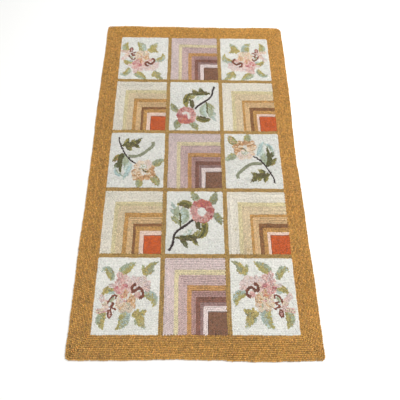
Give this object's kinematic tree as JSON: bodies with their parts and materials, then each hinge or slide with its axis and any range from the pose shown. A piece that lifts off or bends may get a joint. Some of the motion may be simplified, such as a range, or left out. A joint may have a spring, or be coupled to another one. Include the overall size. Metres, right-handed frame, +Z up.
{
  "type": "hooked rug",
  "caption": "Flat rectangular hooked wool rug with a wide ochre border round a grid of flower blocks and blocks of nested right-angled bands.",
  "frame": {"origin": "middle of the rug's box on the floor, at the flat underside", "axes": "+X across the rug, +Y along it to its far end, +Z up out of the pile"},
  "size_m": [0.9242, 1.5372, 0.0098],
  "materials": {
    "hooked_wool": "matte",
    "linen_foundation": "matte"
  },
  "bodies": {
    "root": {"rug": "hooked_wool"}
  },
  "joints": []
}
